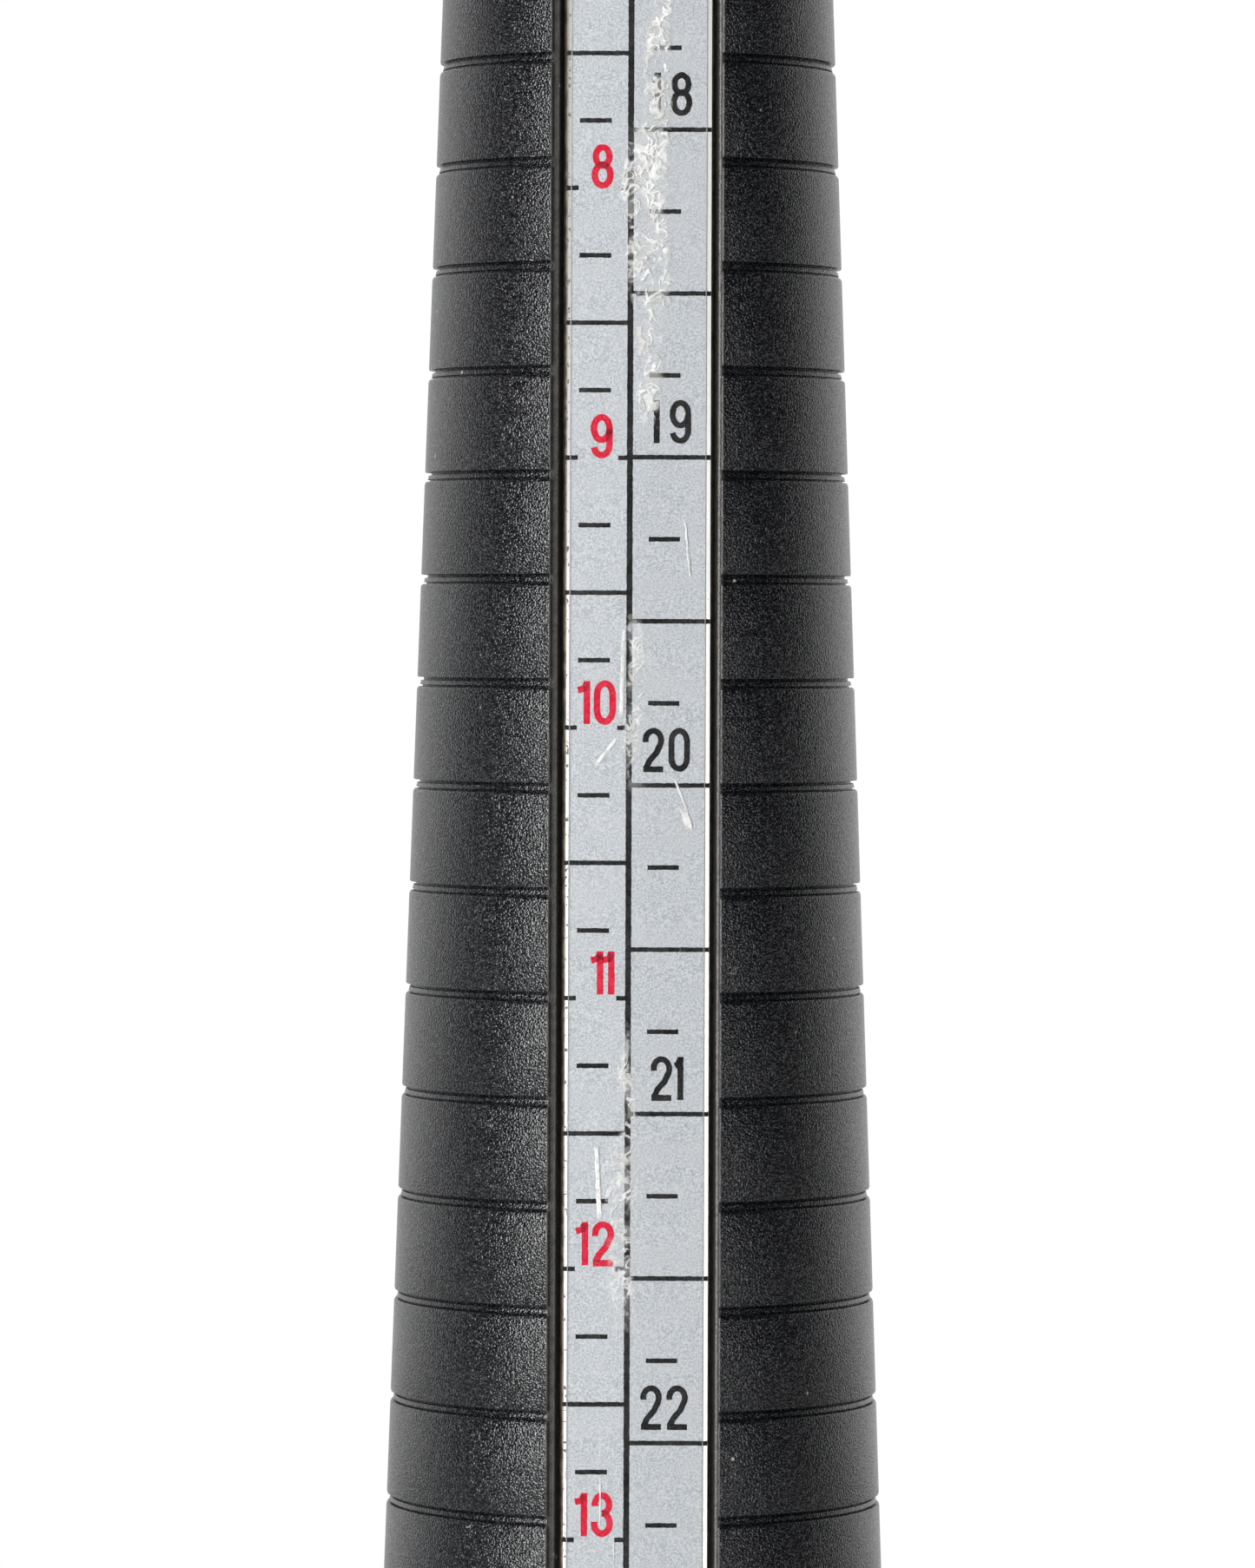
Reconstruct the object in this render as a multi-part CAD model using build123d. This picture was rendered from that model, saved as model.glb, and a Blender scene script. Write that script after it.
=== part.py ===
from build123d import *
import math
import os

# Ring mandrel: a tapered gauge stick with a scale in a flat pocket on its front and its back, and a
# screwed-on handle. Millimetres. +Z runs from the foot to the tip, the origin is the centre of the foot,
# and the front scale faces -Y.

# Gauge taper
LENGTH_PER_DIAMETER = 14.47  # length over which the gauge diameter grows by 1 mm
SHOULDER_DIAMETER = 25.0
NOSE_DIAMETER = 12.0
HANDLE_LENGTH = 96.0  # foot to shoulder
NOSE_Z = HANDLE_LENGTH + (SHOULDER_DIAMETER - NOSE_DIAMETER) * LENGTH_PER_DIAMETER

# Gauge bands, with a groove at each whole millimetre of circumference
BAND_HEIGHT = 0.20
LEDGE_DEPTH = 0.22  # from the gauge surface to the ledge beside a pocket
BAND_EDGE_CHAMFER = 0.12
GROOVE_WIDTH = 0.42
FIRST_CIRCUMFERENCE = 39
LAST_CIRCUMFERENCE = 77

# Flat channels and pockets for the scales
CHANNEL_HALF_WIDTH = 3.76
CHANNEL_LOW = 100.0
POCKET_HALF_WIDTH = 3.49
POCKET_SHIFT = 0.08  # the pocket lies this much to the right of the channel's middle
POCKET_LOW = 101.0
POCKET_HIGH = NOSE_Z - 3.0
FACE_AT_SHOULDER = 11.60  # from the axis to the face of the cover film
FACE_AT_NOSE = 4.75
SCALE_HALF_WIDTH = 3.20
SCALE_THICKNESS = 0.57
SCALE_BEVEL_WIDTH = 0.19
SCALE_BEVEL_DROP = 0.07
FILM_THICKNESS = 0.08
END_CLEARANCE = 0.30

# Bore of the cone, and the socket at its wide end
SOCKET_RADIUS = 8.50
SOCKET_DEPTH = 22.0
SOCKET_TOP = HANDLE_LENGTH + SOCKET_DEPTH
BORE_RADIUS_AT_SOCKET = 7.90
BORE_RADIUS_AT_NOSE = 2.40

# Tip plug
TIP_HEAD_RADIUS = 5.60
TIP_HEAD_HEIGHT = 3.0
TIP_RIM_HEIGHT = 0.8
TIP_SPIGOT_LENGTH = 8.0
TIP_SPIGOT_CLEARANCE = 0.02

# Handle
GRIP_RADIUS = 13.5  # at the widest place
GRIP_BELLY_Z = 40.0
GRIP_BELLY_CURVE = 509.0  # radius of the long arc along the grip
NECK_Z = 84.0
COLLAR_RADIUS = 13.0
COLLAR_HEIGHT = 5.0
COLLAR_EDGE_RADIUS = 0.8
HANDLE_FOOT_Z = 2.0
HANDLE_BORE_RADIUS = 9.0
WEB_LOW = 70.0
WEB_HIGH = HANDLE_LENGTH - SOCKET_DEPTH
SCREW_HOLE_RADIUS = 2.2
GRIP_GROOVE_RADIUS = 0.9
GRIP_GROOVE_OFFSET = 0.4  # groove's centre, out from the grip's surface
GRIP_GROOVE_FIRST_Z = 24.0
GRIP_GROOVE_PITCH = 6.0
GRIP_GROOVE_COUNT = 9
HANGING_HOLE_RADIUS = 2.5
HANGING_HOLE_Z = 14.0

# Coupling plug, with two keys along its sides
PLUG_CLEARANCE = 0.02
PLUG_BORE_RADIUS = 6.3
PLUG_FLOOR_THICKNESS = 12.0
KEY_WIDTH = 3.0
KEY_HEIGHT = 1.0
KEY_END_GAP = 3.0
KEY_CLEARANCE = 0.05

# Threaded insert, screw and washer (M4)
INSERT_RADIUS = 3.0
INSERT_LENGTH = 10.0
INSERT_FLUTES = 24
INSERT_BORE_RADIUS = 2.0
SCREW_RADIUS = 1.98
SCREW_LENGTH = 14.0
SCREW_HEAD_RADIUS = 3.8
SCREW_HEAD_HEIGHT = 2.4
SCREW_HEAD_ROUND = 1.2
DRIVE_SLOT_WIDTH = 0.9
DRIVE_SLOT_LENGTH = 4.2
DRIVE_SLOT_DEPTH = 1.5
WASHER_RADIUS = 4.5
WASHER_HOLE_RADIUS = 2.15
WASHER_THICKNESS = 0.8

# End cap
CAP_RADIUS = 12.0
CAP_EDGE_RADIUS = 0.8
CAP_SPIGOT_LENGTH = 7.0
CAP_SPIGOT_WALL = 1.6
CAP_SPIGOT_CLEARANCE = 0.03

OVERCUT = 1.0  # how far a cutting shape runs past what it cuts


def gauge_radius(z):
    """Radius of the gauge bands at height z."""
    return (SHOULDER_DIAMETER - (z - HANDLE_LENGTH) / LENGTH_PER_DIAMETER) / 2


def groove_z(circumference):
    """Height at which the gauge has this circumference."""
    return HANDLE_LENGTH + (SHOULDER_DIAMETER - circumference / math.pi) * LENGTH_PER_DIAMETER


def face_distance(z):
    """Distance from the axis to the outer face of a cover film at height z."""
    share = (z - HANDLE_LENGTH) / (NOSE_Z - HANDLE_LENGTH)
    return FACE_AT_SHOULDER + (FACE_AT_NOSE - FACE_AT_SHOULDER) * share


def grip_radius(z):
    """Radius of the grip at height z, on one long arc."""
    return GRIP_RADIUS - GRIP_BELLY_CURVE + math.sqrt(GRIP_BELLY_CURVE**2 - (z - GRIP_BELLY_Z) ** 2)


def turned(*outline):
    """A solid turned about Z from a closed outline of (radius, height) points."""
    return revolve(make_face(Plane.XZ * Polyline(*outline, close=True)), Axis.Z)


def tube(outer, inner, low, high):
    """A round tube between two heights."""
    return turned((inner, low), (outer, low), (outer, high), (inner, high))


def rod(radius, low, high):
    """A round rod between two heights."""
    return Pos(0, 0, low) * extrude(Circle(radius), high - low)


def flat_bar(half_width, outer_depth, inner_depth, low, high):
    """A bar in the middle of the front pocket, between two depths beneath the film's face."""
    outline = Polyline(
        (outer_depth - face_distance(low), low),
        (outer_depth - face_distance(high), high),
        (inner_depth - face_distance(high), high),
        (inner_depth - face_distance(low), low),
        close=True,
    )
    return Pos(POCKET_SHIFT, 0, 0) * extrude(make_face(Plane.YZ * outline), half_width, both=True)


def keys(width, height, low, high):
    """Two key bars along the plug's sides, at +X and -X."""
    reach = 2 * (SOCKET_RADIUS + height)
    middle = (low + high) / 2
    return Pos(0, 0, middle) * Box(reach, width, high - low)


def key_slots(low, high):
    """The two slots that the plug's keys slide into."""
    return keys(KEY_WIDTH + 2 * KEY_CLEARANCE, KEY_HEIGHT + KEY_CLEARANCE, low, high)


def ring_outline(inner_radius, outer_radius, low, high):
    """Section of a ring that follows the taper between two heights."""
    outline = Polyline(
        (inner_radius(low), low),
        (outer_radius(low), low),
        (outer_radius(high), high),
        (inner_radius(high), high),
        close=True,
    )
    return make_face(outline)


def groove_floor_radius(z):
    """Radius at the floor of the grooves."""
    return gauge_radius(z) - BAND_HEIGHT


def ledge_radius(z):
    """Radius of the ledge between the band ends and the pocket."""
    return gauge_radius(z) - LEDGE_DEPTH


def bore_radius(z):
    """Radius of the tapered bore."""
    share = (z - SOCKET_TOP) / (NOSE_Z - SOCKET_TOP)
    return BORE_RADIUS_AT_SOCKET + (BORE_RADIUS_AT_NOSE - BORE_RADIUS_AT_SOCKET) * share


def band_section(low, high):
    """Section of one gauge band, with its edge on the tip side broken."""
    section = ring_outline(bore_radius, gauge_radius, low, high)
    tip_side_corner = section.vertices().group_by(Axis.Y)[-1].sort_by(Axis.X)[-1]
    return chamfer(tip_side_corner, BAND_EDGE_CHAMFER)


def banded_section():
    """Half of the cone's section, with every groove between the bands."""
    grooves = [groove_z(size) for size in range(LAST_CIRCUMFERENCE, FIRST_CIRCUMFERENCE - 1, -1)]
    lows = [HANDLE_LENGTH] + [z + GROOVE_WIDTH / 2 for z in grooves]
    highs = [z - GROOVE_WIDTH / 2 for z in grooves] + [NOSE_Z]
    section = ring_outline(bore_radius, groove_floor_radius, HANDLE_LENGTH, NOSE_Z)
    for low, high in zip(lows, highs):
        section += band_section(low, high)
    return section


def channel_cutter():
    """What the front and rear channels take off the bands, down to the ledge."""
    height = NOSE_Z + OVERCUT - CHANNEL_LOW
    slab = Pos(0, 0, CHANNEL_LOW + height / 2) * Box(2 * CHANNEL_HALF_WIDTH, 2 * SHOULDER_DIAMETER, height)
    kept = ring_outline(lambda z: 0, ledge_radius, HANDLE_LENGTH - OVERCUT, NOSE_Z + 2 * OVERCUT)
    return slab - revolve(Plane.XZ * kept, Axis.Z)


def mandrel_cone():
    """The hollow tapered moulding with its bands, channels and scale pockets."""
    cone = revolve(Plane.XZ * banded_section(), Axis.Z)
    cone -= rod(SOCKET_RADIUS, HANDLE_LENGTH - OVERCUT, SOCKET_TOP)
    cone -= channel_cutter()
    floor_depth = FILM_THICKNESS + SCALE_THICKNESS
    pocket = flat_bar(POCKET_HALF_WIDTH, -2 * OVERCUT, floor_depth, POCKET_LOW, POCKET_HIGH)
    cone -= pocket
    cone -= pocket.rotate(Axis.Z, 180)
    return cone - key_slots(HANDLE_LENGTH - OVERCUT, SOCKET_TOP)


def scale_strip():
    """The printed metal strip in the front pocket, bevelled round its outer face."""
    bar = flat_bar(
        SCALE_HALF_WIDTH,
        FILM_THICKNESS,
        FILM_THICKNESS + SCALE_THICKNESS,
        POCKET_LOW + END_CLEARANCE,
        POCKET_HIGH - END_CLEARANCE,
    )
    outer_face = bar.faces().sort_by(Axis.Y)[0]
    return chamfer(outer_face.edges(), SCALE_BEVEL_WIDTH, SCALE_BEVEL_DROP, reference=outer_face)


def cover_film():
    """The clear film on the front scale, as wide and long as the flat between its bevels."""
    return flat_bar(
        SCALE_HALF_WIDTH - SCALE_BEVEL_WIDTH,
        0,
        FILM_THICKNESS,
        POCKET_LOW + END_CLEARANCE + SCALE_BEVEL_WIDTH,
        POCKET_HIGH - END_CLEARANCE - SCALE_BEVEL_WIDTH,
    )


def tip_plug():
    """The rounded button that closes the bore at the tip."""
    rim = Pos(0, 0, NOSE_Z) * extrude(Circle(TIP_HEAD_RADIUS), TIP_RIM_HEIGHT)
    dome_height = TIP_HEAD_HEIGHT - TIP_RIM_HEIGHT
    dome_radius = (TIP_HEAD_RADIUS**2 + dome_height**2) / (2 * dome_height)
    ball = Pos(0, 0, NOSE_Z + TIP_HEAD_HEIGHT - dome_radius) * Sphere(dome_radius)
    dome = ball & rod(TIP_HEAD_RADIUS, NOSE_Z + TIP_RIM_HEIGHT, NOSE_Z + TIP_HEAD_HEIGHT)
    spigot = rod(BORE_RADIUS_AT_NOSE - TIP_SPIGOT_CLEARANCE, NOSE_Z - TIP_SPIGOT_LENGTH, NOSE_Z)
    return rim + dome + spigot


def grip_section():
    """Half of the grip's solid section: a long belly with half-round grooves, a hollow neck and a collar."""
    collar_low = HANDLE_LENGTH - COLLAR_HEIGHT
    foot = (grip_radius(HANDLE_FOOT_Z), HANDLE_FOOT_Z)
    neck = (grip_radius(NECK_Z), NECK_Z)
    belly_arc = ThreePointArc(foot, (GRIP_RADIUS, GRIP_BELLY_Z), neck)
    neck_arc = TangentArc(neck, (COLLAR_RADIUS, collar_low), tangent=belly_arc % 1)
    rest = Polyline(
        (COLLAR_RADIUS, collar_low),
        (COLLAR_RADIUS, HANDLE_LENGTH),
        (0, HANDLE_LENGTH),
        (0, HANDLE_FOOT_Z),
        foot,
    )
    section = make_face(belly_arc + neck_arc + rest)
    collar_corner = section.vertices().sort_by(Axis.Y)[-2:].sort_by(Axis.X)[-1]
    section = fillet(collar_corner, COLLAR_EDGE_RADIUS)
    for index in range(GRIP_GROOVE_COUNT):
        z = GRIP_GROOVE_FIRST_Z + index * GRIP_GROOVE_PITCH
        section -= Pos(grip_radius(z) + GRIP_GROOVE_OFFSET, z) * Circle(GRIP_GROOVE_RADIUS)
    return section


def handle():
    """The hollow grip moulding."""
    body = revolve(Plane.XZ * grip_section(), Axis.Z)
    body -= rod(HANDLE_BORE_RADIUS, HANDLE_FOOT_Z - OVERCUT, WEB_LOW)
    body -= rod(SOCKET_RADIUS, WEB_HIGH, HANDLE_LENGTH + OVERCUT)
    body -= rod(SCREW_HOLE_RADIUS, WEB_LOW - OVERCUT, WEB_HIGH + OVERCUT)
    body -= key_slots(WEB_HIGH, HANDLE_LENGTH + OVERCUT)
    hanging_hole = Cylinder(HANGING_HOLE_RADIUS, 3 * GRIP_RADIUS, rotation=(0, 90, 0))
    return body - Pos(0, 0, HANGING_HOLE_Z) * hanging_hole


def coupling_plug():
    """The keyed plug that joins the cone and the handle."""
    low = WEB_HIGH
    high = SOCKET_TOP
    body = rod(SOCKET_RADIUS - PLUG_CLEARANCE, low, high)
    body += keys(KEY_WIDTH, KEY_HEIGHT, low + KEY_END_GAP, high - KEY_END_GAP)
    body -= rod(PLUG_BORE_RADIUS, low + PLUG_FLOOR_THICKNESS, high + OVERCUT)
    body -= rod(INSERT_RADIUS, low - OVERCUT, low + INSERT_LENGTH)
    return body - rod(SCREW_HOLE_RADIUS, low, high)


def threaded_insert():
    """The fluted brass insert in the plug's floor."""
    flutes = extrude(RegularPolygon(INSERT_RADIUS, INSERT_FLUTES), INSERT_LENGTH)
    bore = rod(INSERT_BORE_RADIUS, WEB_HIGH - OVERCUT, WEB_HIGH + INSERT_LENGTH + OVERCUT)
    return Pos(0, 0, WEB_HIGH) * flutes - bore


def handle_screw():
    """The pan-head screw, with a cross recess, up through the handle's web."""
    head_top = WEB_LOW - WASHER_THICKNESS
    head_low = head_top - SCREW_HEAD_HEIGHT
    head = rod(SCREW_HEAD_RADIUS, head_low, head_top)
    head = fillet(head.edges().group_by(Axis.Z)[0], SCREW_HEAD_ROUND)
    slot = Pos(0, 0, head_low) * Box(DRIVE_SLOT_LENGTH, DRIVE_SLOT_WIDTH, 2 * DRIVE_SLOT_DEPTH)
    shank = rod(SCREW_RADIUS, head_top, head_top + SCREW_LENGTH)
    return head + shank - slot - slot.rotate(Axis.Z, 90)


def screw_washer():
    """The washer between the screw's head and the web."""
    return tube(WASHER_RADIUS, WASHER_HOLE_RADIUS, WEB_LOW - WASHER_THICKNESS, WEB_LOW)


def end_cap():
    """The plug that closes the handle and is its flat foot."""
    disc = rod(CAP_RADIUS, 0, HANDLE_FOOT_Z)
    disc = fillet(disc.edges().group_by(Axis.Z)[0], CAP_EDGE_RADIUS)
    spigot_radius = HANDLE_BORE_RADIUS - CAP_SPIGOT_CLEARANCE
    spigot_top = HANDLE_FOOT_Z + CAP_SPIGOT_LENGTH
    return disc + tube(spigot_radius, spigot_radius - CAP_SPIGOT_WALL, HANDLE_FOOT_Z, spigot_top)


front_scale_strip = scale_strip()
front_cover_film = cover_film()

PARTS = {
    "mandrel_cone": mandrel_cone(),
    "tip_plug": tip_plug(),
    "front_scale_strip": front_scale_strip,
    "rear_scale_strip": front_scale_strip.rotate(Axis.Z, 180),
    "front_cover_film": front_cover_film,
    "rear_cover_film": front_cover_film.rotate(Axis.Z, 180),
    "handle": handle(),
    "coupling_plug": coupling_plug(),
    "threaded_insert": threaded_insert(),
    "handle_screw": handle_screw(),
    "screw_washer": screw_washer(),
    "end_cap": end_cap(),
}

os.makedirs("parts", exist_ok=True)
for name, part in PARTS.items():
    export_step(part, f"parts/{name}.step")
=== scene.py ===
import math
import random

import bmesh
import bpy
from mathutils import Matrix, Vector


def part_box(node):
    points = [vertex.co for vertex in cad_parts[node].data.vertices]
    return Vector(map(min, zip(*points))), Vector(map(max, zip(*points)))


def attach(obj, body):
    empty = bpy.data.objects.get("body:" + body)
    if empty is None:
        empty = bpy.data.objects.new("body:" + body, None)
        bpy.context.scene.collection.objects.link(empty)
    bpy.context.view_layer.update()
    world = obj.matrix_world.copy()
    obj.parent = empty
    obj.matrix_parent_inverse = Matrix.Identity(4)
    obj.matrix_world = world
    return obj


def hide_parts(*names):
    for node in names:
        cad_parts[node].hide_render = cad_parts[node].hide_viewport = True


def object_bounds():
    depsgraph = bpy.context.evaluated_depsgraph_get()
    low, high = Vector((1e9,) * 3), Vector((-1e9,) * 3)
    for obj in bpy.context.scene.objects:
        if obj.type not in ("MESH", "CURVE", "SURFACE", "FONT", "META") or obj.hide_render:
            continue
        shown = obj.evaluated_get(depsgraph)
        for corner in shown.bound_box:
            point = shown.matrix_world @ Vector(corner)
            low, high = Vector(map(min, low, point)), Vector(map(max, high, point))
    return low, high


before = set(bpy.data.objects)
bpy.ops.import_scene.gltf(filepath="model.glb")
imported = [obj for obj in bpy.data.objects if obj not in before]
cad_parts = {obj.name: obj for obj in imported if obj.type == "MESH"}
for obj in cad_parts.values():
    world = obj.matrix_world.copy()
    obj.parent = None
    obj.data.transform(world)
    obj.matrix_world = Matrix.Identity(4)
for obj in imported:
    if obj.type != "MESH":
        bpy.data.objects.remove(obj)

# The mandrel stands on its foot: +Z is up the axis to the tip, and the front scale faces -Y.
# Sizes are in millimetres, and MM turns them into the metres that every object is built in.
MM = 0.001
CAD_LOW, CAD_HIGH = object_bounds()


def node_box(node):
    """Lowest and highest corners of a CAD node, in millimetres."""
    low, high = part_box(node)
    return low / MM, high / MM


CONE_LOW, CONE_HIGH = node_box("mandrel_cone")
SCALE_LOW, SCALE_HIGH = node_box("front_scale_strip")
FILM_LOW, FILM_HIGH = node_box("front_cover_film")
HANDLE_LOW, HANDLE_HIGH = node_box("handle")
CAP_HIGH = node_box("end_cap")[1]
PLUG_LOW, PLUG_HIGH = node_box("tip_plug")

# Gauge taper
SHOULDER_Z = CONE_LOW.z
NOSE_Z = CONE_HIGH.z
SHOULDER_DIAMETER = 25.0
NOSE_DIAMETER = 12.0
LENGTH_PER_DIAMETER = (NOSE_Z - SHOULDER_Z) / (SHOULDER_DIAMETER - NOSE_DIAMETER)

# Bands and grooves
FIRST_CIRCUMFERENCE = 39
LAST_CIRCUMFERENCE = 77
LEDGE_DEPTH = 0.22
CHANNEL_HALF_WIDTH = 3.76
CHANNEL_LOW = 100.0
POCKET_HALF_WIDTH = 3.49
POCKET_LOW = 101.0
POCKET_HIGH = NOSE_Z - 3.0

# Scales and films
FACE_AT_SHOULDER = 11.60
FACE_AT_NOSE = 4.75
FILM_THICKNESS = 0.08
SCALE_THICKNESS = 0.57
SCALE_BEVEL = 0.19
SCALE_HALF_WIDTH = (SCALE_HIGH.x - SCALE_LOW.x) / 2
SCALE_MIDDLE = (SCALE_HIGH.x + SCALE_LOW.x) / 2  # the front pocket and strip lie this far towards +X
SCALE_SHIFT = -0.667  # the scale is stuck on this much below its true place


def gauge_radius(z):
    """Radius of the bands at height z."""
    return (SHOULDER_DIAMETER - (z - SHOULDER_Z) / LENGTH_PER_DIAMETER) / 2


def gauge_z(diameter):
    """Height at which the bands have this diameter."""
    return SHOULDER_Z + (SHOULDER_DIAMETER - diameter) * LENGTH_PER_DIAMETER


def face_distance(z):
    """Distance from the axis to the film's face at height z."""
    share = (z - SHOULDER_Z) / (NOSE_Z - SHOULDER_Z)
    return FACE_AT_SHOULDER + (FACE_AT_NOSE - FACE_AT_SHOULDER) * share


# Mesh helpers


MERGE_DISTANCE = 1e-7  # metres


def place_object(name, data):
    """A new object, put into the scene."""
    made = bpy.data.objects.new(name, data)
    bpy.context.scene.collection.objects.link(made)
    return made


def new_object(name, vertices, faces):
    """A mesh object from vertices in millimetres, with its points merged and its faces turned outwards."""
    mesh = bpy.data.meshes.new(name)
    mesh.from_pydata([Vector(v) * MM for v in vertices], [], faces)
    mesh.validate()
    merged = bmesh.new()
    merged.from_mesh(mesh)
    bmesh.ops.remove_doubles(merged, verts=merged.verts, dist=MERGE_DISTANCE)
    bmesh.ops.recalc_face_normals(merged, faces=merged.faces)
    merged.to_mesh(mesh)
    merged.free()
    return place_object(name, mesh)


def new_piece(name, vertices, faces, material, slot, replaces=()):
    """A piece of the mandrel, on the root body, from vertices in millimetres."""
    piece = new_object(name, vertices, faces)
    piece.data.materials.append(material)
    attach(piece, "root")
    if replaces:
        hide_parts(*replaces)
    return piece


def shade_by_angle(piece, degrees):
    """Smooth shading, with edges sharper than the angle left crisp."""
    mesh = piece.data
    mesh.shade_smooth()
    mesh.set_sharp_from_angle(angle=math.radians(degrees))


def closed_grid(rows):
    """Vertices and quads of a skin whose rows are closed rings, closed from the last row to the first."""
    count = len(rows[0])
    vertices = [point for row in rows for point in row]
    faces = []
    for r in range(len(rows)):
        below, above = r * count, ((r + 1) % len(rows)) * count
        for c in range(count):
            d = (c + 1) % count
            faces.append((below + c, below + d, above + d, above + c))
    return vertices, faces


def lathe_rows(outline, segments):
    """Rings of points round the axis, one for each (radius, height) of the outline."""
    angles = [2 * math.pi * k / segments for k in range(segments)]
    return [[(r * math.sin(a), -r * math.cos(a), z) for a in angles] for r, z in outline]


def arc_points(centre, radius, start, end, steps):
    """Points along an arc in the (radius, height) plane, angles in degrees from the +radius direction."""
    angles = [math.radians(start + (end - start) * k / steps) for k in range(steps + 1)]
    return [(centre[0] + radius * math.cos(a), centre[1] + radius * math.sin(a)) for a in angles]


# Cone: rows up the taper, columns round it

GROOVE_HALF_WIDTH = 0.21
# Height from the groove's lower edge and depth under the bands, from the lower band's round edge
# over the sloping floor to the deep slot under the upper band's sharp edge.
GROOVE_PROFILE = (
    (-0.16, 0.0),
    (-0.07, 0.02),
    (-0.01, 0.07),
    (0.0, 0.24),
    (0.08, 0.24),
    (0.09, 0.13),
    (0.27, 0.17),
    (0.28, 0.29),
    (0.41, 0.29),
    (0.42, 0.02),
    (0.48, 0.0),
)
# Sideways distance from the pocket's wall, and depth under the ledge, of the pocket's rounded rim
POCKET_RIM = ((0.0, 0.10), (0.015, 0.05), (0.04, 0.025), (0.12, 0.0))
# Sideways distance from the channel's edge, and depth under the bands, of a band's end with its slight burr
BAND_END = ((0.0, LEDGE_DEPTH), (0.0, 0.055), (0.06, 0.0), (0.10, -0.004), (0.16, 0.0))
FLOOR_COLUMNS = (-POCKET_HALF_WIDTH, -2.7, -1.8, -0.9, 0.0, 0.9, 1.8, 2.7, POCKET_HALF_WIDTH)
# Distance from the cone's lower or upper end, and depth under the bands, of its rounded rims
SHOULDER_RIM = ((0.0, 0.15), (0.04, 0.04), (0.15, 0.0))
NOSE_RIM = ((0.35, 0.0), (0.12, 0.05), (0.03, 0.14), (0.0, 0.30))
CHANNEL_EDGE_HEIGHT = 0.08
CHANNEL_EDGE_DEPTH = 0.03
WALL_RISE = 0.01  # height over which an end wall of a channel or a pocket rises
SIDE_STEPS = 56
CONE_SHARP_ANGLE = 28
SOCKET_RADIUS = 8.5
SOCKET_DEPTH = 22.0
BORE_RADIUS_AT_SOCKET = 7.9
BORE_RADIUS_AT_NOSE = 2.4


def front_columns():
    """Columns across the front, from one band end over the pocket to the other: (place, kind, depth)."""
    ends = [(CHANNEL_HALF_WIDTH + dx, "end", depth) for dx, depth in BAND_END]
    rims = [(POCKET_HALF_WIDTH + dx, "rim", depth) for dx, depth in POCKET_RIM]
    left_end = [(-x, kind, depth) for x, kind, depth in reversed(ends)]
    left_rim = [(SCALE_MIDDLE - x, kind, depth) for x, kind, depth in reversed(rims)]
    floor = [(SCALE_MIDDLE + x, "floor", 0.0) for x in FLOOR_COLUMNS]
    right_rim = [(SCALE_MIDDLE + x, kind, depth) for x, kind, depth in rims]
    return left_end + left_rim + floor + right_rim + ends


def cone_row(z, band_depth, has_channel, has_pocket):
    """One closed ring of the cone's outside, from the front's left band end round to it again."""
    radius = gauge_radius(z)
    ledge = math.sqrt((radius - LEDGE_DEPTH) ** 2 - CHANNEL_HALF_WIDTH**2)
    floor = face_distance(z) - FILM_THICKNESS - SCALE_THICKNESS
    front = []
    for x, kind, depth in front_columns():
        if not has_channel:
            front.append((x, math.sqrt((radius - band_depth) ** 2 - x**2)))
        elif kind == "end" and depth < LEDGE_DEPTH:
            reach = radius - (max(depth, band_depth) if band_depth else depth)
            front.append((x, math.sqrt(reach**2 - x**2)))
        elif not has_pocket or kind == "end":
            front.append((x, ledge))
        else:
            front.append((x, floor if kind == "floor" else ledge - depth))
    edge = math.asin((CHANNEL_HALF_WIDTH + BAND_END[-1][0]) / radius)
    angles = [edge + (math.pi - 2 * edge) * k / SIDE_STEPS for k in range(1, SIDE_STEPS)]
    side = [((radius - band_depth) * math.sin(a), (radius - band_depth) * math.cos(a)) for a in angles]
    half = front + side
    return [(x, -y, z) for x, y in half] + [(-x, y, z) for x, y in half]


def inner_row(outer_row, radius, z):
    """A round ring inside the cone, with its points at the same angles as an outer row's."""
    angles = [math.atan2(x, -y) for x, y, _ in outer_row]
    return [(radius * math.sin(a), -radius * math.cos(a), z) for a in angles]


def cone_heights():
    """(height, band depth, has channel, has pocket) of each row, from the shoulder to the nose."""
    rows = [(SHOULDER_Z + rise, depth, False, False) for rise, depth in SHOULDER_RIM]
    rows += [
        (CHANNEL_LOW - CHANNEL_EDGE_HEIGHT, 0.0, False, False),
        (CHANNEL_LOW, CHANNEL_EDGE_DEPTH, False, False),
        (CHANNEL_LOW + WALL_RISE, 0.0, True, False),
        (POCKET_LOW - WALL_RISE, 0.0, True, False),
        (POCKET_LOW, 0.0, True, True),
    ]
    for size in range(LAST_CIRCUMFERENCE, FIRST_CIRCUMFERENCE - 1, -1):
        lower_edge = gauge_z(size / math.pi) - GROOVE_HALF_WIDTH
        rows += [(lower_edge + dz, depth, True, True) for dz, depth in GROOVE_PROFILE]
    rows += [(POCKET_HIGH, 0.0, True, True), (POCKET_HIGH + WALL_RISE, 0.0, True, False)]
    return rows + [(NOSE_Z - fall, depth, True, False) for fall, depth in NOSE_RIM]


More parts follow.
